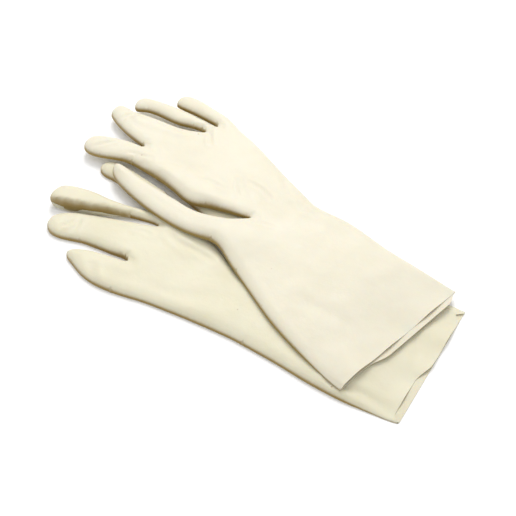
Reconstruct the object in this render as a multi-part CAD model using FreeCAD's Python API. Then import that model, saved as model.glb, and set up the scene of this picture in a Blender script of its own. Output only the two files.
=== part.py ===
import FreeCAD, Part
import math
import os

os.makedirs("parts", exist_ok=True)

# A pair of long seamless latex gloves lying flat, palms up, the left one over the right one.
# Row frame: +Z up, +X from the fingers towards the cuffs, origin at the middle of the footprint, on
# the table. All sizes are in millimetres.

THICK = 8.0  # one glove lying flat, both layers and the air between them
WALL = 1.2  # rubber wall
EDGE_R = 2.4  # rounding of the folded side edges
GAP = 0.4  # free space at a flex line, and between the two gloves
DOOR = 5.0  # how far a cavity's own outline is carried past its flex lines
SHORT = 14.0  # edges at the foot of the fingers no longer than this stay square
LONG = 200.0  # outline curves longer than this are made of more spans
SPAN = 12.0  # length of one such span
CHORD = 3.0  # length of the flat facets that a cavity's side wall is made of

WRIST = 140.0  # distance of the wrist flex line from the cuff

# Each glove has its own flat frame: s runs from the middle of the cuff towards the fingertips, t runs
# across it. place = where the middle of the cuff is, and which way s points.
RIGHT_PLACE = (189.9, -44.2, 180.0, 0.0)
LEFT_PLACE = (157.7, -39.6, 164.6, THICK + GAP)

# A digit: root = its flex line, the two points where it leaves the hand; side = the free outline
# from the first root point round the tip to the second.
RIGHT_DIGITS = {
    "little_finger": {
        "root": [(262.0, 68.0), (268.0, 38.0)],
        "side": [
            (279, 69.0), (294, 66.4), (307, 60.5), (316.5, 54.0),
            (313, 46.6), (299, 40.8), (283, 38.4),
        ],
    },
    "ring_finger": {
        "root": [(269.5, 32.5), (279.5, -6.4)],
        "side": [
            (285, 33.6), (312, 36.6), (336, 41.0), (349.5, 35.0),
            (350, 23.0), (339, 13.5), (307, 2.6),
        ],
    },
    "middle_finger": {
        "root": [(294.0, -8.9), (294.8, -18.4)],
        "side": [
            (311, -3.6), (336, 3.0), (356, 7.6), (366, 0.0),
            (355, -10.8), (333, -14.2), (312, -14.6),
        ],
    },
    "index_finger": {
        "root": [(281.0, -26.0), (278.0, -48.0)],
        "side": [
            (300, -30.2), (319, -35.6), (342, -37.6), (351, -46.4),
            (343, -56.4), (320, -56.0), (298, -51.4),
        ],
    },
    "thumb": {
        "root": [(185.0, -13.5), (180.0, -46.0)],
        "side": [
            (205, -27), (226, -37), (256, -47), (280, -56), (290, -66),
            (280, -74), (252, -69), (222, -62), (198, -54),
        ],
    },
}
LEFT_DIGITS = {
    "thumb": {
        "root": [(178.0, 39.6), (184.0, 11.8)],
        "side": [
            (198, 47.0), (223, 51.8), (258, 53.4), (288, 51.2), (303.5, 43.5),
            (301, 37.2), (273, 34.2), (234, 30.0), (208, 25.0),
        ],
    },
    "index_finger": {
        "root": [(295.0, 28.2), (302.0, 9.6)],
        "side": [
            (306, 32.2), (324, 42.6), (336, 46.0), (346, 39.0),
            (344, 27.0), (331, 17.6), (316, 10.8),
        ],
    },
    "middle_finger": {
        "root": [(303.5, 5.0), (310.0, -31.0)],
        "side": [(327, 5.2), (351, 2.2), (362.4, -7.4), (354, -16.6), (333, -22.8)],
    },
    "ring_finger": {
        "root": [(283.0, -47.8), (286.3, -57.7)],
        "side": [
            (307, -37.6), (327, -32.2), (347, -22.0), (355, -30.6),
            (347, -40.8), (324, -48.4), (302, -53.2),
        ],
    },
    "little_finger": {
        "root": [(273.5, -62.8), (274.5, -74.4)],
        "side": [
            (298, -57.0), (321, -53.2), (328.6, -61.4),
            (316, -71.6), (297, -74.4), (285, -75.0),
        ],
    },
}

# The hand of each glove, wrist to knuckles: the runs of outline between one flex line and the next,
# in the same order as the digits, the wrist first and last.
RIGHT_HAND = [
    [(WRIST, 59.4), (190, 60.4), (233, 63.8)],
    [(265.8, 35.0)],
    [(266.4, -11.0), (280, -12.4)],
    [(277.6, -23.6)],
    [(256, -34), (226, -25), (208, -15), (190, -6), (176.0, 1.0)],
    [(160, -48), (WRIST, -53.6)],
]
LEFT_HAND = [
    [(WRIST, 47.4), (149, 44.9), (168, 39.4)],
    [(176.0, -1.2), (190, 5.8), (208, 14.6), (223, 22.6), (250, 23.2), (270, 23.8)],
    [(300.0, 7.2)],
    [(300, -35.4), (288, -40.8), (279.2, -46.4)],
    [(272.2, -60.6)],
    [(258, -72.0), (236, -69.4), (210, -64.6), (184, -59.8), (160, -56.0), (WRIST, -54.4)],
]

# The gauntlet of each glove, from the wrist down one side to the cuff and back up the other.
RIGHT_GAUNTLET = [
    [(WRIST, 59.4), (109, 61.6), (75, 65.0), (47, 66.2), (0.0, 62.4)],
    [(0.0, -61.6), (50, -61.2), (100, -57.6), (WRIST, -53.6)],
]
LEFT_GAUNTLET = [
    [(WRIST, 47.4), (122, 52.2), (80, 63.4), (40, 68.4), (0.0, 69.2)],
    [(0.0, -69.2), (65, -62.4), (111, -60.0), (WRIST, -54.4)],
]


def placed(point, place):
    """A point of a glove's flat frame in the row frame."""
    x, y, turn, z = place
    c = math.cos(math.radians(turn))
    s = math.sin(math.radians(turn))
    return FreeCAD.Vector(x + point[0] * c - point[1] * s, y + point[0] * s + point[1] * c, z)


def run(points):
    """One free edge of an outline: a straight edge, or a smooth curve through all its points."""
    if len(points) == 2:
        return Part.makeLine(points[0], points[1])
    curve = Part.BSplineCurve()
    curve.interpolate(points)
    if curve.length() > LONG:
        curve.interpolate(curve.toShape().discretize(int(curve.length() / SPAN)))
    return curve.toShape()


def outline(runs, place):
    """The closed wire through a list of runs, each starting where the one before it ended."""
    return Part.Wire([run([placed(p, place) for p in points]) for points in runs])


def slab(wire, low, high):
    """The solid between two heights above a closed flat wire."""
    shape = Part.Face(wire).extrude(FreeCAD.Vector(0, 0, high - low))
    shape.translate(FreeCAD.Vector(0, 0, low))
    return shape


def set_back(line, distance, towards):
    """A flex line moved by a distance to the side on which a point lies."""
    (a, b), (c, d) = line
    n = (b - d, c - a)
    size = math.hypot(*n)
    side = math.copysign(distance / size, n[0] * (towards[0] - a) + n[1] * (towards[1] - b))
    return [(a + n[0] * side, b + n[1] * side), (c + n[0] * side, d + n[1] * side)]


def on_line(edge, line, place):
    """Whether an edge lies along a flex line, seen from above."""
    a, b = placed(line[0], place), placed(line[1], place)
    along = b - a
    for share in (0.0, 0.4, 1.0):
        v = edge.valueAt(edge.FirstParameter + share * (edge.LastParameter - edge.FirstParameter)) - a
        if abs(along.x * v.y - along.y * v.x) / along.Length > 0.3:
            return False
    return True


def rounded(solid, doors, place):
    """The solid with its long side edges rounded, and its flex faces left square."""
    low = solid.BoundBox.ZMin
    high = solid.BoundBox.ZMax
    edges = []
    for edge in solid.Edges:
        box = edge.BoundBox
        level = box.ZLength < 0.01 and (abs(box.ZMin - low) < 0.01 or abs(box.ZMax - high) < 0.01)
        if level and edge.Length > SHORT and not any(on_line(edge, door, place) for door in doors):
            edges.append(edge)
    return solid.makeFillet(EDGE_R, edges)


def winding(points):
    """1 for a closed outline that runs anticlockwise, -1 for one that runs clockwise."""
    return math.copysign(1, sum(p[0] * q[1] - p[1] * q[0] for p, q in zip(points, points[1:] + points[:1])))


def through(runs, doors):
    """The runs of a zone carried past its flex lines by DOOR, so that its cavity passes them too."""
    way = winding([point for points in runs for point in points])
    out = []
    for points in runs:
        if points not in doors:
            out.append(points)
            continue
        (a, b), (c, d) = points
        reach = way * DOOR / math.hypot(c - a, d - b)
        n = ((d - b) * reach, (a - c) * reach)
        far = [(a + n[0], b + n[1]), (c + n[0], d + n[1])]
        out += [[points[0], far[0]], far, [far[1], points[1]]]
    return out


def inset(runs, place, distance):
    """The closed polygon that runs one distance inside the outline through a list of runs."""
    points = []
    for stretch in runs:
        edge = run([placed(p, place) for p in stretch])
        points += edge.discretize(2 if len(stretch) == 2 else max(4, int(edge.Length / CHORD)))[:-1]
    up = FreeCAD.Vector(0, 0, winding(points))
    corners = []
    for i, corner in enumerate(points):
        before = (corner - points[i - 1]).normalize()
        after = (points[(i + 1) % len(points)] - corner).normalize()
        inward = up.cross(before) + up.cross(after)
        corners.append(corner + inward * (distance / (1 + before.dot(after))))
    return Part.makePolygon(corners + corners[:1])


def shell(runs, doors, place):
    """One zone of a glove: a closed flat bag of one wall, open at its flex lines."""
    body = rounded(slab(outline(runs, place), 0.0, THICK), doors, place)
    cavity = slab(inset(through(runs, doors), place, WALL), WALL, THICK - WALL)
    return body.cut(cavity).Solids[0]


def glove(side, place, gauntlet, hand, digits, slack):
    """All zones of one glove, as {node name: solid}. slack = free space at a flex line, by digit."""
    zones = {}
    wrist = [gauntlet[1][-1], gauntlet[0][0]]
    cuff = [gauntlet[0][-1], gauntlet[1][0]]

    near = set_back(wrist, slack["gauntlet"], cuff[0])
    runs = [
        [near[1]] + gauntlet[0][1:],
        cuff,
        gauntlet[1][:-1] + [near[0]],
        near,
    ]
    zones[side + "_gauntlet"] = shell(runs, [runs[1], runs[3]], place)

    runs = []
    doors = [wrist]
    start = None
    for stretch, name in zip(hand, list(digits) + [None]):
        points = ([] if start is None else [start]) + list(stretch)
        if name is not None:
            root = digits[name]["root"]
            points.append(root[0])
            doors.append(root)
        for first, second in split(points):
            runs.append(points[first:second])
        if name is not None:
            runs.append(root)
            start = root[1]
    runs.append(doors[0])
    zones[side + "_hand"] = shell(runs, doors, place)

    for name, digit in digits.items():
        tip = digit["side"][len(digit["side"]) // 2]
        root = set_back(digit["root"], slack[name], tip)
        free = [root[0]] + digit["side"] + [root[1]]
        root.reverse()
        zones[side + "_" + name] = shell([free, root], [root], place)
    return zones


def split(points):
    """Where a stretch of hand outline has a sharp corner: (first, past the last) point of each run."""
    cuts = [0]
    for i in range(1, len(points) - 1):
        a = math.atan2(points[i][1] - points[i - 1][1], points[i][0] - points[i - 1][0])
        b = math.atan2(points[i + 1][1] - points[i][1], points[i + 1][0] - points[i][0])
        if abs(math.remainder(b - a, 2 * math.pi)) > math.radians(50):
            cuts.append(i)
    cuts.append(len(points) - 1)
    return [(cuts[k], cuts[k + 1] + 1) for k in range(len(cuts) - 1)]


# The right hand, gauntlet, thumb and index finger stay together under the left glove, so they touch.
still = dict.fromkeys(["gauntlet", "thumb", "index_finger"], 0.0)
free = dict.fromkeys(["gauntlet"] + list(LEFT_DIGITS), GAP)

parts = {}
parts.update(glove("right", RIGHT_PLACE, RIGHT_GAUNTLET, RIGHT_HAND, RIGHT_DIGITS, {**free, **still}))
parts.update(glove("left", LEFT_PLACE, LEFT_GAUNTLET, LEFT_HAND, LEFT_DIGITS, free))

for name, shape in parts.items():
    shape.exportStep("parts/" + name + ".step")
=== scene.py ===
import math

import bpy
import numpy as np
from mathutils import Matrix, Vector, noise
from mathutils.geometry import delaunay_2d_cdt


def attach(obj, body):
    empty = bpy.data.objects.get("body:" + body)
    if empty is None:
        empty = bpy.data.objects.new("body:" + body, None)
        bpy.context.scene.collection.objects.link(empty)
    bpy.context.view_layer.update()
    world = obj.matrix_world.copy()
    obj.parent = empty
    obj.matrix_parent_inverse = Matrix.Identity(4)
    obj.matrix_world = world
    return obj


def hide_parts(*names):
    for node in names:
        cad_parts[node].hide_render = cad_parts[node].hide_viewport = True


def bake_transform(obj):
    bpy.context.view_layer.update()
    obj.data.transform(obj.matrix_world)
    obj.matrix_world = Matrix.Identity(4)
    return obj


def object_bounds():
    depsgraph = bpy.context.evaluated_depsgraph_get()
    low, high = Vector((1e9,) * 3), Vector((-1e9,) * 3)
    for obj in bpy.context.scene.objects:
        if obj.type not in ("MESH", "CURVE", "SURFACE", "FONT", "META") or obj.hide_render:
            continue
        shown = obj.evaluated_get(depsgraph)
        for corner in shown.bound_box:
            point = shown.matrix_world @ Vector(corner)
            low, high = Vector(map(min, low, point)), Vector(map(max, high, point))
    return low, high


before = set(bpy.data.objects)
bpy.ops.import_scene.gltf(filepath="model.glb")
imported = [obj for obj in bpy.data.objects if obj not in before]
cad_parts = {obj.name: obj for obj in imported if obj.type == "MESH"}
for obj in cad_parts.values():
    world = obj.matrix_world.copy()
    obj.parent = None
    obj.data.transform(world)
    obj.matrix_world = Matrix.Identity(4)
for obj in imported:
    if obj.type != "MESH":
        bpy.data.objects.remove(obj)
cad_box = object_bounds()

# Two seamless dipped latex gloves. Each is one shell, built whole in its own flat frame in
# millimetres (s from the cuff towards the fingertips, t across), then cut into the zones that move.

MM = 0.001  # metres

# The camera: angles in degrees, distances in metres, lens and sensor in millimetres of film.
AZIMUTH = 30.4
ELEVATION = 50.0
DISTANCE = 1.0
TARGET = Vector((0.0161, -0.0206, 0.0035))
LENS = 82.6
SENSOR = 36.0

# The gloves, in millimetres.
WALL = 0.9  # rubber wall
WRIST = 140.0  # from the cuff to the wrist's fold
EDGE = 1.0  # height of the folded edge over what the glove lies on
HAND_ROLL = 12.0  # from the folded edge in to the full height: on the hand,
DIGIT_ROLL = 9.0  # on a digit,
CUFF_ROLL = 8.0  # and at the cuff
ROLL_FULL = 2.4  # shape of the rolled edge: how blunt it is at the top,
ROLL_STEEP = 0.45  # and how steeply it starts
CUFF_SINK = 0.22  # share of its height that the gauntlet loses towards the cuff,
SINK_REACH = 90.0  # within this distance of it
CUFF_FLAT = 0.64  # share of the height that the mouth is pressed flat by,
FLAT_REACH = 60.0  # within this distance
ROOT_REACH = 14.0  # how far a digit's narrower roll runs on into the hand,
ROOT_SHARE = 0.6  # and how much of it
LOW_FULL = 1.15  # how soon the low layer reaches what the glove lies on
FINGER_LIFT = 7.0  # how far the right middle finger stands up over its neighbour,
FINGER_SLIP = 0.5  # and how far it slips to the near side for each millimetre of that
FURROW_START = 5.0  # waves and creases come in over this distance from the edge
BANK = 0.45  # height of a crease's banks, as a share of its depth,
BANK_AT = 2.1  # how far out they are, in widths of the crease,
BANK_WIDTH = 1.2  # and how wide
TOP_WAVES = ((0.45, 38.0, 3.1), (0.22, 15.0, 7.7))  # height, size and seed
LOW_WAVE = (0.3, 30.0, 11.0)

# How the upper glove lies on the lower one, in millimetres.
DRAPE_STEP = 2.5  # between the points of the draped sheet
DRAPE_SAG = 0.0022  # how far a free point falls below its neighbours in one round
DRAPE_START = 8.0  # height that the sheet is let down from
DRAPE_ROUNDS = 700
SOFTENING_ROUNDS = 3
DRAPE_MARGIN = 12  # how far the sheet goes past the gloves
CLEARANCE = 0.5  # between the two gloves

# The mesh, in millimetres.
OUTLINE_STEP = 1.5
CREASE_STEP = 1.0
EDGE_ROWS = (0.3, 0.8, 1.6, 2.8, 4.4)  # rows of points this far in from the outline
FINE_ROWS = 3  # the first of them, which keep every point
ROW_CROWDING = 0.93  # a row loses its points that come nearer to the edge than this share of its place
CUFF_CLEAR = 0.8  # rows stay this far from the cuff,
GRID_CUFF_CLEAR = 1.0  # and the grid this far
GRID_STEP = 2.1
ROW_STEP = 0.866 * GRID_STEP  # between the rows of a grid of even triangles
GRID_EDGE = 6.0  # the grid stays this far in
GRID_LENGTH = 400.0
GRID_HALF = 45  # points on each side of the middle
FOLD_CLEAR = 0.7  # other points stay this far from a fold's own
CELL = 0.5  # no two free points share a square of this size
CHUNK = 1500  # points worked on at one time
ON_OUTLINE = 1e-4  # a point that is nearer than this to the outline is on it
ON_EDGE = 1e-3  # and so for a finger's own outline

# Painted shade: the rubber's colour is darkened to a dark golden brown where its surface is steep, standing
# in for the shade on the glove's side walls, and a faint tint of it is painted on its inner skin.
PAINTED_SHADE_STRENGTH = 0.98
STEEP = 0.78  # upward share of the normal where the painted shade starts
PAINTED_SHADE_RANGE = 0.5
INNER_PAINTED_SHADE = 0.08
BLUR_ROUNDS = 3

azimuth, elevation = math.radians(AZIMUTH), math.radians(ELEVATION)
BACK = Vector((
    math.sin(azimuth) * math.cos(elevation),
    -math.cos(azimuth) * math.cos(elevation),
    math.sin(elevation),
))
NEAR_SIDE = np.array([math.sin(azimuth), -math.cos(azimuth)])  # along the table, to its near side

# Each glove's own table. place = where the middle of its cuff is, and which way s points; runs = the
# outline, between its sharp corners, from the cuff round the digits and back; roots and wrist = the
# lines that it folds along; puff = how high it stands over its folded edge. A crease is a line, a
# depth and a width. A bump is a place, its reach along s and t, and a height. A lift, which holds
# both layers up, is a place, a reach and a height.
RIGHT = {
    "place": (189.9, -44.2, 180.0),
    "runs": [
        [(0, 62.2), (7, 63.4), (27, 65), (47, 66.3), (75, 65.2), (109, 61.6), (140, 59.4), (152, 58.9),
         (190, 60.2), (233, 63.8), (248, 66.4), (262, 68.4), (279, 68.9), (293, 66.2), (306, 60.6),
         (314.5, 56.5), (317.6, 52), (315, 47.4), (308, 43.6), (299, 40.6), (283, 37.8), (270.5, 36.2),
         (267.2, 34.6)],
        [(267.2, 34.6), (270.5, 33.2), (284.7, 34.2), (298.7, 35.2), (312.6, 36.6), (324.4, 39.8),
         (334.7, 42.1), (344.2, 41.2), (350.4, 36), (351.8, 27.5), (347.6, 20), (339.5, 13.6),
         (325, 8), (307, 2.2), (283, -5.3), (270.5, -9.4), (266.4, -11.2)],
        [(266.4, -11.2), (270.5, -12.4), (287, -9.6), (294, -7.4), (300, -5.0), (311.5, 0.0), (325, 5.4),
         (336.5, 9.8), (350, 13.6), (359, 14.2), (365, 10.4), (366.8, 2.6), (363.4, -6.4), (354.3, -10.9),
         (344, -13.2), (333.7, -14.3), (317.7, -14.4), (306, -15.8), (294.8, -18.6), (282, -22.4),
         (278.2, -23.6)],
        [(278.2, -23.6), (282.6, -25.4), (300, -30.0), (319, -35.4), (334, -37.4), (343, -38.2),
         (349, -41.4), (351.2, -47), (348.6, -52.6), (342, -56), (330, -56.4), (312, -53.6),
         (296, -50.6), (280.6, -47.6), (268, -41), (252, -32.6), (238, -27.6), (224, -23.2),
         (208, -15.4), (194, -8), (180, -0.6), (175.0, 1.6)],
        [(175.0, 1.6), (180, -6), (186, -14), (200, -24), (220, -33.6), (240, -41.4), (260, -48.4),
         (276, -54), (285, -59), (288.6, -65), (286, -71.4), (278, -73.8), (264, -71.8), (244, -66.6),
         (222, -61.2), (198, -54.6), (181, -50), (170, -48.4), (156, -49.6), (140, -53.6), (120, -56.6),
         (100, -58.2), (50, -61.4), (0, -61.6)],
    ],
    "roots": {
        "little_finger": ((262, 68.4), (270.5, 36.2)),
        "ring_finger": ((270.5, 33.2), (283, -5.3)),
        "middle_finger": ((294, -7.4), (294.8, -18.6)),
        "index_finger": ((282.6, -25.4), (280.6, -47.6)),
        "thumb": ((186, -14), (181, -50)),
    },
    "wrist": ((140, 59.4), (140, -53.6)),
    "puff": 6.2,
    "creases": [
        ([(326, 34), (325, 27), (327, 18)], 0.9, 1.6),
        ([(338, 36), (334, 30), (332, 25)], 0.6, 1.3),
        ([(279, 5), (272, 2), (266, 3)], 0.5, 1.6),
        ([(236, -3), (220, -1), (204, 1)], 0.9, 2.2),
        ([(252, -6), (238, -1), (226, 2)], 0.8, 2.6),
        ([(289, 56), (284, 62), (281, 68)], 0.8, 3.0),
        ([(62, 56), (34, 54.5), (8, 55)], 1.5, 3.4),
        ([(236, 55), (206, 44), (176, 34)], 0.5, 6.0),
        ([(296, 46), (280, 42), (262, 38)], 0.6, 3.5),
        ([(30, -24), (20, -10), (8, 6)], 0.8, 4.0),
    ],
    "bumps": [(272, 31, 9, 8, 1.2), (150, 40, 30, 16, 0.9), (60, 30, 46, 20, 1.0), (300, 20, 20, 10, 0.6)],
    "lifts": [(356, 30, 14, 1.6)],
}
LEFT = {
    "place": (157.7, -39.6, 164.6),
    "runs": [
        [(0, 69.2), (12, 69.6), (26, 69.2), (52, 67.4), (80, 63.4), (100, 58.4), (122, 52.2), (140, 47.4),
         (149, 45), (160, 41.6), (168, 39.6), (178, 40.2), (186, 43), (200, 47.4), (223, 51.6),
         (250, 53.6), (273, 53.0), (288, 51.4), (297, 48.2), (302.6, 43.2), (303.6, 39.2), (300.5, 36.4),
         (288, 34.6), (273, 33.8), (252, 31.8), (234, 29.6), (215, 27.0), (200, 21.6), (186, 13.4),
         (178, 4), (173.4, -2.4)],
        [(173.4, -2.4), (181, 1.0), (190, 5.4), (200, 10.4), (208, 14.6), (215, 19.4), (223, 23.2),
         (232, 24.2), (242, 23.4), (256, 23.2), (270, 23.8), (286, 26.0), (296, 28), (306, 32),
         (316, 38), (326, 43.4), (335, 46.2), (342, 44.8), (346.6, 39.6), (347.4, 31), (342, 24.2),
         (333, 18.2), (320, 11.6), (307.4, 7.4), (303.6, 6.2)],
        [(303.6, 6.2), (307, 5.8), (326.6, 5.6), (342, 3.9), (351, 2.0), (358.8, -1), (362.4, -7.6),
         (360.8, -14.6), (354, -17.4), (346, -18.2), (333, -23.2), (320, -27.6), (311, -30.4),
         (303, -33), (290, -39), (283.4, -43.6), (278.8, -47.2)],
        [(278.8, -47.2), (284, -46.6), (291.3, -44.2), (307, -36.8), (326.4, -32.2), (338, -28),
         (347, -21.6), (352.4, -24.6), (355.2, -31.2), (352.4, -38), (346, -41.6), (334, -46.4),
         (322, -50.2), (306, -54), (292, -56.6), (287, -57.6), (280, -58.8), (276.4, -59.6)],
        [(276.4, -59.6), (280, -60.6), (292, -59), (306, -56.6), (318, -53.6), (324.6, -53.0),
         (328.8, -57.6), (329.2, -63.6), (325, -68.8), (313.5, -72.6), (295, -74.2), (278, -75.2),
         (268, -73.8), (258.7, -72.0), (236, -69.6), (210, -64.8), (184, -59.8), (160, -56), (150, -54.2),
         (140, -54.4), (111, -60.4), (65, -61.6), (30, -66), (0, -69.2)],
    ],
    "roots": {
        "thumb": ((178, 40.2), (186, 13.4)),
        "index_finger": ((296, 28), (307.4, 7.4)),
        "middle_finger": ((307, 5.8), (311, -30.4)),
        "ring_finger": ((284, -46.6), (287, -57.6)),
        "little_finger": ((280, -60.6), (278, -75.2)),
    },
    "wrist": ((140, 47.4), (140, -54.4)),
    "puff": 6.4,
    "creases": [
        ([(334, 41), (330, 32), (323, 19)], 1.0, 1.5),
        ([(306, 25), (298, 20), (284, 14)], 0.8, 2.0),
        ([(300, 31), (296, 24), (290, 19)], 0.5, 1.6),
        ([(343, 0), (343, -9), (337, -17), (327, -22)], 1.3, 1.4),
        ([(331, -19), (310, -27), (292, -33)], 1.7, 3.6),
        ([(289, -60), (274, -48), (261, -37)], 1.1, 1.5),
        ([(234, -1), (224, -5), (212, -7)], 0.6, 1.3),
        ([(202, -29), (188, -31), (175, -29)], 0.6, 1.6),
        ([(214, -23), (205, -15), (197, -11)], 0.6, 1.2),
        ([(174, -4), (170, 1), (166, 4)], 0.7, 1.1),
        ([(169, -7), (165, -4), (161, -1)], 0.6, 1.1),
        ([(163, -1), (157, -4), (149, -8)], 0.5, 1.3),
        ([(298, 37), (292, 40), (286, 37)], 0.6, 1.2),
        ([(158, -46), (146, -42), (134, -44)], 0.6, 2.4),
        ([(192, -60), (176, -50), (162, -48)], 0.8, 3.2),
        ([(80, 34), (52, 24), (24, 21)], 0.5, 5.0),
        ([(290, 28), (268, 6), (240, -6)], 0.6, 5.0),
    ],
    "bumps": [(220, -30, 34, 24, 1.4), (150, 8, 30, 26, 1.2), (70, -20, 50, 30, 1.2), (190, 30, 18, 10, 1.0),
              (264, 17, 38, 13, 2.8), (208, 8, 24, 12, 2.2)],
    "lifts": [(176, 30, 26, 3.4), (232, 12, 26, 1.8), (300, 42, 16, 1.6)],
}


def curve_through(points, step):
    """Points about one step apart on a smooth centripetal curve through the given ones."""
    p = [np.array(q, float) for q in points]
    p = [2 * p[0] - p[1]] + p + [2 * p[-1] - p[-2]]
    out = []
    for i in range(1, len(p) - 2):
        p0, p1, p2, p3 = p[i - 1 : i + 3]
        k = [0.0]
        for u, v in ((p0, p1), (p1, p2), (p2, p3)):
            k.append(k[-1] + max(np.linalg.norm(v - u), 1e-6) ** 0.5)
        n = max(1, round(float(np.linalg.norm(p2 - p1)) / step))
        for j in range(n):
            t = k[1] + (k[2] - k[1]) * j / n
            a1 = (k[1] - t) / (k[1] - k[0]) * p0 + (t - k[0]) / (k[1] - k[0]) * p1
            a2 = (k[2] - t) / (k[2] - k[1]) * p1 + (t - k[1]) / (k[2] - k[1]) * p2
            a3 = (k[3] - t) / (k[3] - k[2]) * p2 + (t - k[2]) / (k[3] - k[2]) * p3
            b1 = (k[2] - t) / (k[2] - k[0]) * a1 + (t - k[0]) / (k[2] - k[0]) * a2
            b2 = (k[3] - t) / (k[3] - k[1]) * a2 + (t - k[1]) / (k[3] - k[1]) * a3
            out.append((k[2] - t) / (k[2] - k[1]) * b1 + (t - k[1]) / (k[2] - k[1]) * b2)
    out.append(p[-2])
    return np.array(out)


def straight(a, b, step):
    """Points about one step apart on the segment a-b."""
    a, b = np.array(a, float), np.array(b, float)
    n = max(1, round(float(np.linalg.norm(b - a)) / step))
    return a + (b - a) * (np.arange(n + 1) / n)[:, None]


def distance(points, a, b):
    """Each point's distance to the nearest of the segments a-b."""
    out = np.empty(len(points))
    d = b - a
    dd = (d**2).sum(1)
    for i in range(0, len(points), CHUNK):
        q = points[i : i + CHUNK, None] - a
        t = np.clip((q * d).sum(2) / dd, 0, 1)
        out[i : i + CHUNK] = np.sqrt((((q - t[..., None] * d) ** 2).sum(2)).min(1))
    return out


def inside(points, loop):
    """Whether each point is inside a closed loop."""
    a, b = loop, np.roll(loop, -1, axis=0)
    out = np.zeros(len(points), bool)
    for i in range(0, len(points), CHUNK):
        x, y = points[i : i + CHUNK, 0:1], points[i : i + CHUNK, 1:2]
        spans = (a[:, 1] > y) != (b[:, 1] > y)
        dy = np.where(b[:, 1] == a[:, 1], 1e-12, b[:, 1] - a[:, 1])
        at = a[:, 0] + (y - a[:, 1]) * (b[:, 0] - a[:, 0]) / dy
        out[i : i + CHUNK] = (spans & (x < at)).sum(1) % 2 == 1
    return out


def nearest(points, place):
    """The index of the point that lies nearest to a place."""
    return int(np.argmin(((points - np.array(place)) ** 2).sum(1)))


def smooth(x):
    """A soft step from 0 at 0 to 1 at 1."""
    x = np.clip(x, 0, 1)
    return x * x * (3 - 2 * x)


def to_row(points, place):
    """Points of a glove's flat frame on the table."""
    x, y, turn = place
    c, s = math.cos(math.radians(turn)), math.sin(math.radians(turn))
    return np.stack([x + points[:, 0] * c - points[:, 1] * s, y + points[:, 0] * s + points[:, 1] * c], 1)


def to_flat(points, place):
    """Points of the table in a glove's flat frame."""
    x, y, turn = place
    c, s = math.cos(math.radians(turn)), math.sin(math.radians(turn))
    q = points - np.array([x, y])
    return np.stack([q[:, 0] * c + q[:, 1] * s, -q[:, 0] * s + q[:, 1] * c], 1)


def hump(p, s, t, reach_s, reach_t):
    """A soft round hump: 1 at one place, fading with the distance from it."""
    return np.exp(-(((p[:, 0] - s) / reach_s) ** 2) - ((p[:, 1] - t) / reach_t) ** 2)


def prepare(glove):
    """The outline of a glove, its folded edge as segments, and a loop round each digit."""
    runs = [curve_through(r, OUTLINE_STEP) for r in glove["runs"]]
    rim = np.concatenate([r[:-1] for r in runs] + [runs[-1][-1:]])
    cuff = straight(rim[-1], rim[0], OUTLINE_STEP)
    glove["rim"] = rim
    glove["loop"] = np.concatenate([rim, cuff[1:-1]])
    glove["a"], glove["b"] = rim[:-1], rim[1:]
    glove["zones"] = {}
    for name, ends in glove["roots"].items():
        i, j = sorted(nearest(rim, end) for end in ends)
        glove["zones"][name] = rim[i : j + 1]


def shape(glove, p, d):
    """How far the top layer stands over the folded edge and the low one under it, before creases."""
    digits = np.zeros(len(p))
    for loop in glove["zones"].values():
        near = distance(p, loop[:-1], loop[1:])
        into_hand = smooth(1 - near / ROOT_REACH) * ROOT_SHARE
        digits = np.maximum(digits, np.where(inside(p, loop), 1.0, into_hand))
    roll = HAND_ROLL + (DIGIT_ROLL - HAND_ROLL) * digits
    gauntlet = CUFF_ROLL + (HAND_ROLL - CUFF_ROLL) * smooth(p[:, 0] / WRIST)
    roll = np.where(p[:, 0] < WRIST, gauntlet, roll)
    dome = (1 - (1 - np.clip(d / roll, 0, 1)) ** ROLL_FULL) ** ROLL_STEEP
    rise = glove["puff"] * (1 - CUFF_SINK * smooth(1 - p[:, 0] / SINK_REACH)) * dome
    for *where, height in glove["bumps"]:
        rise = rise + height * hump(p, *where) * dome
    return rise, EDGE * np.clip(dome * LOW_FULL, 0, 1)


def lift(glove, p):
    """How far each point of both layers is held up."""
    return sum(height * hump(p, s, t, reach, reach) for s, t, reach, height in glove["lifts"])


def crease(p, line, depth, width):
    """A soft furrow with a low bank on each side, fading at its ends."""
    c = curve_through(line, CREASE_STEP)
    q = distance(p, c[:-1], c[1:])
    ends = np.minimum(np.hypot(*(p - c[0]).T), np.hypot(*(p - c[-1]).T))
    fade = smooth(0.25 + ends / (3 * width + 3))
    bank = BANK * np.exp(-(((q - BANK_AT * width) / (BANK_WIDTH * width)) ** 2))
    return depth * fade * (bank - np.exp(-((q / width) ** 2)))


def wave(p, height, size, seed):
    """A gentle random swell."""
    return height * np.array([noise.noise(Vector((x / size, y / size, seed))) for x, y in p])


def edge_rows(glove):
    """Rows of mesh points that follow the outline just inside it."""
    loop = glove["loop"]
    tangent = np.roll(loop, -1, axis=0) - np.roll(loop, 1, axis=0)
    normal = np.stack([-tangent[:, 1], tangent[:, 0]], 1)
    normal /= np.maximum(np.hypot(*normal.T), 1e-9)[:, None]
    if not inside(loop[5:6] + normal[5:6] * 0.5, loop)[0]:
        normal = -normal
    rows = []
    for k, off in enumerate(EDGE_ROWS):
        every = 1 if k < FINE_ROWS else 2
        row = loop[::every] + normal[::every] * off
        row = row[inside(row, loop)]
        row = row[distance(row, glove["a"], glove["b"]) > off * ROW_CROWDING]
        rows.append(row[row[:, 0] > CUFF_CLEAR])
    return rows


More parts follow.
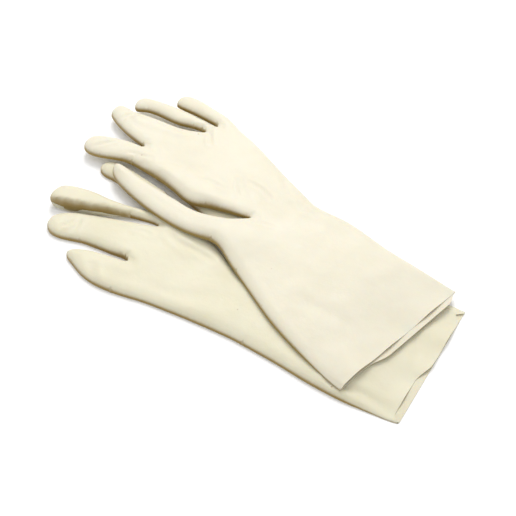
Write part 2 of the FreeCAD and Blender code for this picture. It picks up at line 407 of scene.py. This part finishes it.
def inner_grid(glove):
    """A grid of even triangles over the middle of the glove."""
    n = int(GRID_LENGTH / ROW_STEP)
    across = np.arange(-GRID_HALF, GRID_HALF + 1) * GRID_STEP
    gs, gt = np.meshgrid(np.arange(n) * ROW_STEP, across, indexing="ij")
    gt = gt + (np.arange(n) % 2)[:, None] * GRID_STEP / 2
    grid = np.stack([gs.ravel(), gt.ravel()], 1)
    grid = grid[inside(grid, glove["loop"]) & (grid[:, 0] > GRID_CUFF_CLEAR)]
    return grid[distance(grid, glove["a"], glove["b"]) > GRID_EDGE]


def spread(points):
    """The points, with only the first kept of those that share a cell."""
    keep, cells = [], set()
    for i, (x, y) in enumerate(points):
        cell = (int(x / CELL), int(y / CELL))
        if cell not in cells:
            cells.add(cell)
            keep.append(i)
    return points[keep]


def mesh_plan(glove):
    """The flat triangulation: fine along the folded edge, even inside, with the fold lines in it."""
    loop = glove["loop"]
    folds = [straight(p, q, OUTLINE_STEP) for p, q in list(glove["roots"].values()) + [glove["wrist"]]]
    free = np.concatenate(edge_rows(glove) + [inner_grid(glove)])
    starts = np.concatenate([fold[:-1] for fold in folds])
    ends = np.concatenate([fold[1:] for fold in folds])
    free = spread(free[distance(free, starts, ends) > FOLD_CLEAR])
    points = np.concatenate([loop] + [fold[1:-1] for fold in folds] + [free])
    edges = [(i, (i + 1) % len(loop)) for i in range(len(loop))]
    at = len(loop)
    for fold in folds:
        count = len(fold) - 2
        chain = [nearest(loop, fold[0])] + list(range(at, at + count)) + [nearest(loop, fold[-1])]
        edges += list(zip(chain[:-1], chain[1:]))
        at += count
    v, _, tris, *_ = delaunay_2d_cdt([Vector(q) for q in points], edges, [], 0, 1e-5)
    v = np.array([tuple(q) for q in v])
    tris = np.array([f for f in tris if len(f) == 3])
    tris = tris[inside(v[tris].mean(1), loop)]
    side = v[tris]
    turn = np.cross(side[:, 1] - side[:, 0], side[:, 2] - side[:, 0])
    tris = tris[np.abs(turn) > 1e-6]
    turn = turn[np.abs(turn) > 1e-6]
    tris[turn < 0] = tris[turn < 0][:, ::-1]
    return v, tris


def solve_drape(under, low, high):
    """The height of a limp sheet laid on what is under it: it spans, and comes down past the edges."""
    nx, ny = (int((high[i] - low[i]) / DRAPE_STEP) + 1 for i in (0, 1))
    xs, ys = low[0] + np.arange(nx) * DRAPE_STEP, low[1] + np.arange(ny) * DRAPE_STEP
    gx, gy = np.meshgrid(xs, ys, indexing="ij")
    held = under(np.stack([gx.ravel(), gy.ravel()], 1)).reshape(nx, ny)

    def around(z):
        q = np.pad(z, 1, mode="edge")
        return q[2:, 1:-1] + q[:-2, 1:-1] + q[1:-1, 2:] + q[1:-1, :-2]

    z = np.maximum(held, DRAPE_START)
    for _ in range(DRAPE_ROUNDS):
        z = np.maximum(held, around(z) / 4 - DRAPE_SAG)
    for _ in range(SOFTENING_ROUNDS):
        z = (around(z) + 4 * z) / 8

    def height(p):
        x = np.clip((p[:, 0] - low[0]) / DRAPE_STEP, 0, nx - 1.001)
        y = np.clip((p[:, 1] - low[1]) / DRAPE_STEP, 0, ny - 1.001)
        i, j = x.astype(int), y.astype(int)
        u, w = x - i, y - j
        near = z[i, j] * (1 - u) + z[i + 1, j] * u
        far = z[i, j + 1] * (1 - u) + z[i + 1, j + 1] * u
        return near * (1 - w) + far * w

    return height


def right_top(row):
    """The height of the lower glove under each point of the table, and 0 beside it."""
    p = to_flat(row, RIGHT["place"])
    d = distance(p, RIGHT["a"], RIGHT["b"])
    rise, _ = shape(RIGHT, p, d)
    return np.where(inside(p, RIGHT["loop"]), EDGE + rise + lift(RIGHT, p), 0.0)


def right_cuff(v, top, low, rise, near):
    """The lower cuff: its upper layer stands back, and has a small nick at the far corner."""
    s, t = v[:, 0], v[:, 1]
    back = 6.0 * smooth(t / 22) * np.exp(-((s / 22) ** 2)) * smooth((64 - t) / 8)
    nick = 5.5 * np.clip(1 - np.abs(t + 54) / 4.5, 0, 1) * np.exp(-s / 5)
    top[:, 0] += back + nick
    rise += 0.9 * np.sin(t / 5.5 + 0.6) * np.exp(-((s / 16) ** 2)) * near
    rise += 1.6 * hump(v, 0, -20, 26, 22) * near


def left_cuff(v, top, low, rise, near):
    """The upper cuff: its lower layer shows past the upper one, and the mouth gapes at the corner."""
    s, t = v[:, 0], v[:, 1]
    low[:, 0] -= 4.6 * np.exp(-((s / 26) ** 2)) * smooth((40 - t) / 24) * smooth((t + 69) / 14)
    rise += 3.8 * hump(v, 0, 46, 24, 15) * near
    rise += 1.0 * np.sin(t / 8.0) * np.exp(-((s / 20) ** 2)) * near


def right_fold(v):
    """How far the lower glove's middle finger is lifted, where it lies half over its neighbour."""
    finger = curve_through(RIGHT["runs"][2], OUTLINE_STEP)
    within = inside(v, finger) | (distance(v, finger[:-1], finger[1:]) < ON_EDGE)
    s, t = v[:, 0], v[:, 1]
    ridge = -9.0 + 0.29 * (s - 294)  # the line that its side drops away from
    beyond_root = smooth((s - 276) / 46)
    over_ridge = smooth((t - ridge) / 7)
    return np.where(within, FINGER_LIFT * beyond_root * (1 - over_ridge), 0.0)


def build(glove, base, cuff, fold=None):
    """Both layers of a glove as one shell: (vertices in metres, faces, each face's zone).

    base = the height of what it lies on; cuff = the shape of its mouth; fold = what lifts a part of it.
    """
    v, tris = mesh_plan(glove)
    d = distance(v, glove["a"], glove["b"])
    d[d < ON_OUTLINE] = 0
    rise, drop = shape(glove, v, d)
    near = smooth(d / FURROW_START)
    swell = sum(wave(v, *w) for w in TOP_WAVES)
    furrows = sum(crease(v, *c) for c in glove["creases"])
    rise = rise + (swell + furrows) * near
    drop = drop + wave(v, *LOW_WAVE) * near
    flat = 1 - CUFF_FLAT * smooth(1 - v[:, 0] / FLAT_REACH)
    ground = base(to_row(v, glove["place"])) + EDGE * flat + lift(glove, v)
    rise = rise * flat
    flat_top, flat_low = v.copy(), v.copy()
    cuff(v, flat_top, flat_low, rise, near)
    drop = np.minimum(drop, EDGE) * flat
    top = np.column_stack([to_row(flat_top, glove["place"]), ground + rise])
    low = np.column_stack([to_row(flat_low, glove["place"]), ground - drop])
    if fold is not None:
        by = fold(v)
        for layer in (top, low):
            layer[:, 2] += by
            layer[:, :2] += NEAR_SIDE * (FINGER_SLIP * by)[:, None]
    n = len(v)
    # the two layers share the vertices of the folded edge
    second = np.where(d == 0, np.arange(n), np.arange(n) + n)
    verts = np.concatenate([top, low])
    faces = np.concatenate([tris, second[tris][:, ::-1]])
    mid = v[tris].mean(1)
    zone = np.full(len(tris), "hand", dtype=object)
    zone[mid[:, 0] < WRIST] = "gauntlet"
    for name, loop in glove["zones"].items():
        zone[inside(mid, loop)] = name
    return verts * MM, faces, np.concatenate([zone, zone])


def normals_of(verts, faces):
    """Each vertex's normal, over the whole glove, so that shading runs on across the folds."""
    p = verts[faces]
    n = np.cross(p[:, 1] - p[:, 0], p[:, 2] - p[:, 0])
    out = np.zeros_like(verts)
    for k in range(3):
        np.add.at(out, faces[:, k], n)
    return out / np.maximum(np.linalg.norm(out, axis=1), 1e-15)[:, None]


def blurred(value, faces, rounds):
    """A value at each vertex, evened out with its neighbours' values."""
    count = np.bincount(faces.ravel(), minlength=len(value))
    for _ in range(rounds):
        across = value[faces].mean(1)
        total = np.bincount(faces.ravel(), np.repeat(across, 3), len(value))
        value = np.where(count > 0, total / np.maximum(count, 1), value)
    return value


def piece(name, verts, inner, faces, normals, painted_shade):
    """One zone of the shell with its wall: outer skin, inner skin, and the strip that joins them."""
    used, at = np.unique(faces, return_inverse=True)
    f = at.reshape(-1, 3)
    n = len(used)
    sides = dict.fromkeys((t[k], t[(k + 1) % 3]) for t in f.tolist() for k in range(3))
    rim = [side for side in sides if side[::-1] not in sides]
    polys = f.tolist() + (f[:, ::-1] + n).tolist() + [(q, p, p + n, q + n) for p, q in rim]
    mesh = bpy.data.meshes.new(name)
    mesh.from_pydata(np.concatenate([verts[used], inner[used]]).tolist(), [], polys)
    mesh.polygons.foreach_set("use_smooth", [True] * len(polys))
    both = np.concatenate([normals[used], -normals[used]])
    loops = np.empty(len(mesh.loops), int)
    mesh.loops.foreach_get("vertex_index", loops)
    split = both[loops]
    face_normals = np.empty(len(mesh.polygons) * 3)
    mesh.polygons.foreach_get("normal", face_normals)
    # the strip's quads come after the two skins' triangles, and keep their own normals
    strip = face_normals.reshape(-1, 3)[2 * len(f) :]
    split[3 * 2 * len(f) :] = np.repeat(strip, 4, axis=0)
    mesh.normals_split_custom_set(split.tolist())
    # the painted shade goes on each vertex: full on the outer skin's steep walls, faint on the inner skin
    tones = np.concatenate([painted_shade[used], np.full(n, INNER_PAINTED_SHADE)])
    mesh.attributes.new("painted_shade", "FLOAT", "POINT").data.foreach_set("value", tones.astype(np.float32))
    obj = bpy.data.objects.new(name, mesh)
    bpy.context.scene.collection.objects.link(obj)
    return obj


class Latex:
    """Dipped natural rubber: cream, faintly mottled, powdery, with a soft glow through the wall."""

    SETTINGS = {
        "Subsurface Weight": 0.22,
        "Subsurface Radius": (1.0, 0.62, 0.28),
        "Subsurface Scale": 0.0022,
        "Specular IOR Level": 0.38,
        "Sheen Weight": 0.08,
        "Sheen Roughness": 0.5,
        "Coat Weight": 0.05,
        "Coat Roughness": 0.35,
    }
    SPECK = (0.36, 0.22, 0.10)
    SPECK_CELLS = 52.0  # cells to a metre, with a speck in some of them
    SPECK_STRENGTH = 0.55

    def __init__(self, name, cream, deep, painted_shade):
        self.material = bpy.data.materials.new(name)
        self.material.use_nodes = True
        self.tree = self.material.node_tree
        self.tree.nodes.clear()
        out = self.node("ShaderNodeOutputMaterial")
        skin = self.node("ShaderNodeBsdfPrincipled")
        self.link(skin.outputs[0], out.inputs[0])
        self.place = self.node("ShaderNodeTexCoord").outputs["Object"]
        mottle = self.span(self.field(scale=18.0, detail=4.0, rough=0.6), 0.35, 0.7, 0.0, 1.0)
        # painted shade: the steep walls are mixed towards the dark shade colour
        edge = self.node("ShaderNodeAttribute", attribute_name="painted_shade").outputs["Fac"]
        colour = self.mix(edge, self.mix(mottle, cream, deep), painted_shade)
        self.link(self.mix(self.specks(), colour, self.SPECK), skin.inputs["Base Color"])
        roughness = self.span(self.field(scale=60.0, detail=5.0, rough=0.6), 0.3, 0.7, 0.46, 0.62)
        self.link(roughness, skin.inputs["Roughness"])
        for setting, value in self.SETTINGS.items():
            skin.inputs[setting].default_value = value
        broad = self.bump(0.35, 0.0009, self.field(scale=95.0, detail=3.0, rough=0.5))
        fine = self.bump(0.25, 0.0002, self.field(scale=900.0, detail=4.0, rough=0.6))
        self.link(broad.outputs[0], fine.inputs["Normal"])
        self.link(fine.outputs[0], skin.inputs["Normal"])

    def node(self, kind, **values):
        n = self.tree.nodes.new(kind)
        for k, v in values.items():
            setattr(n, k, v)
        return n

    def link(self, output, where):
        self.tree.links.new(output, where)

    def feed(self, where, value):
        """An input gets a colour, a number, or another node's output."""
        if isinstance(value, tuple):
            where.default_value = (*value, 1)
        elif isinstance(value, float):
            where.default_value = value
        else:
            self.link(value, where)

    def field(self, scale, detail, rough):
        """A noise over the object."""
        n = self.node("ShaderNodeTexNoise")
        n.inputs["Scale"].default_value = scale
        n.inputs["Detail"].default_value = detail
        n.inputs["Roughness"].default_value = rough
        self.link(self.place, n.inputs["Vector"])
        return n.outputs["Fac"]

    def span(self, value, low, high, to_low, to_high):
        """A value carried over from one range to another."""
        n = self.node("ShaderNodeMapRange")
        self.link(value, n.inputs["Value"])
        for k, x in zip(("From Min", "From Max", "To Min", "To Max"), (low, high, to_low, to_high)):
            n.inputs[k].default_value = x
        return n.outputs["Result"]

    def mix(self, factor, first, second):
        n = self.node("ShaderNodeMix", data_type="RGBA")
        self.link(factor, n.inputs["Factor"])
        # inputs 6 and 7 are the two colours, and output 2 their mix
        self.feed(n.inputs[6], first)
        self.feed(n.inputs[7], second)
        return n.outputs[2]

    def times(self, x, y):
        n = self.node("ShaderNodeMath", operation="MULTIPLY")
        self.feed(n.inputs[0], x)
        self.feed(n.inputs[1], y)
        return n.outputs[0]

    def bump(self, strength, depth, height):
        n = self.node("ShaderNodeBump")
        n.inputs["Strength"].default_value = strength
        n.inputs["Distance"].default_value = depth
        self.link(height, n.inputs["Height"])
        return n

    def specks(self):
        """A few small round stains, here and there."""
        cells = self.node("ShaderNodeTexVoronoi")
        cells.inputs["Scale"].default_value = self.SPECK_CELLS
        self.link(self.place, cells.inputs["Vector"])
        dot = self.span(cells.outputs["Distance"], 0.035, 0.055, 1.0, 0.0)
        some = self.span(self.field(scale=9.0, detail=1.0, rough=0.5), 0.56, 0.6, 0.0, 1.0)
        return self.times(self.times(dot, some), self.SPECK_STRENGTH)


# Each glove's cream, its mottled darker cream, and the dark golden brown of its painted shade.
LATEX = {
    "right": {"cream": (0.715, 0.67, 0.515), "deep": (0.67, 0.625, 0.455), "painted_shade": (0.29, 0.19, 0.04)},
    "left": {"cream": (0.735, 0.685, 0.555), "deep": (0.70, 0.65, 0.51), "painted_shade": (0.31, 0.21, 0.045)},
}
MATERIALS = {side: Latex(side + "_latex", **colours).material for side, colours in LATEX.items()}
# The left glove covers these, so they stay where they are.
STILL = ("gauntlet", "hand", "thumb", "index_finger")


def lay(side, glove, shell):
    """Makes the pieces of one glove from its shell and hides the CAD parts that they stand in for; the lower
    glove's still pieces and the upper glove's hand are hung on their bodies, the rest are left in place.
    """
    verts, faces, zones = shell
    normals = normals_of(verts, faces)
    inner = verts - normals * WALL * MM
    # painted shade: the steep walls, where shade falls, are marked for the dark golden brown
    painted_shade = PAINTED_SHADE_STRENGTH * smooth((STEEP - np.abs(normals[:, 2])) / PAINTED_SHADE_RANGE)
    # on the lower glove's raised middle finger the painted shade is evened out into a broad band, for the
    # shade on its side wall
    if side == "right":
        folded = np.unique(faces[zones == "middle_finger"])
        painted_shade[folded] = blurred(painted_shade, faces, BLUR_ROUNDS)[folded]
    for zone in ["gauntlet", "hand"] + list(glove["roots"]):
        node = side + "_" + zone
        obj = piece(node + "_shell", verts, inner, faces[zones == zone], normals, painted_shade)
        obj.data.materials.append(MATERIALS[side])
        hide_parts(node)
        if side == "right" and zone in STILL:
            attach(obj, "right_glove")
        elif zone == "hand":
            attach(obj, "left_hand")
        else:
            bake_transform(obj)


def floor():
    """A plain white floor."""
    mesh = bpy.data.meshes.new("floor")
    half = 3.0
    corners = [(-half, -half, 0), (half, -half, 0), (half, half, 0), (-half, half, 0)]
    mesh.from_pydata(corners, [], [(0, 1, 2, 3)])
    obj = bpy.data.objects.new("floor", mesh)
    bpy.context.scene.collection.objects.link(obj)
    white = bpy.data.materials.new("floor")
    white.use_nodes = True
    surface = white.node_tree.nodes["Principled BSDF"]
    surface.inputs["Base Color"].default_value = (0.98, 0.98, 0.98, 1)
    surface.inputs["Roughness"].default_value = 0.9
    mesh.materials.append(white)


def lamp(name, where, size, power):
    """A round soft light that faces the middle of the table."""
    data = bpy.data.lights.new(name, "AREA")
    data.shape = "DISK"
    data.size = size
    data.energy = power
    obj = bpy.data.objects.new(name, data)
    obj.location = where
    obj.rotation_euler = where.to_track_quat("Z", "Y").to_euler()
    bpy.context.scene.collection.objects.link(obj)


def studio():
    """The lamps and the white surroundings."""
    far_side = -Vector((NEAR_SIDE[0], NEAR_SIDE[1], 0))
    right_side = Vector((math.cos(azimuth), math.sin(azimuth), 0))
    lamp("key", far_side + right_side * 0.1 + Vector((0, 0, 1.25)), size=0.9, power=15.5)
    lamp("top", Vector((0, 0, 2.2)), size=2.4, power=10.5)
    world = bpy.data.worlds.new("world")
    world.use_nodes = True
    background = world.node_tree.nodes["Background"]
    background.inputs["Color"].default_value = (1, 1, 1, 1)
    background.inputs["Strength"].default_value = 0.66
    bpy.context.scene.world = world
    bpy.context.scene.view_settings.view_transform = "Standard"


def look():
    """The camera."""
    cam = bpy.data.cameras.new("camera")
    cam.lens = LENS
    cam.sensor_width = SENSOR
    camera = bpy.data.objects.new("camera", cam)
    camera.location = TARGET + BACK * DISTANCE
    camera.rotation_euler = BACK.to_track_quat("Z", "Y").to_euler()
    bpy.context.scene.collection.objects.link(camera)
    bpy.context.scene.camera = camera


prepare(RIGHT)
prepare(LEFT)
low_corner, high_corner = (np.array(corner[:2]) / MM for corner in cad_box)
drape = solve_drape(right_top, low_corner - DRAPE_MARGIN, high_corner + DRAPE_MARGIN)
lay("right", RIGHT, build(RIGHT, lambda row: np.zeros(len(row)), right_cuff, right_fold))
lay("left", LEFT, build(LEFT, lambda row: drape(row) + CLEARANCE, left_cuff))
floor()
studio()
look()
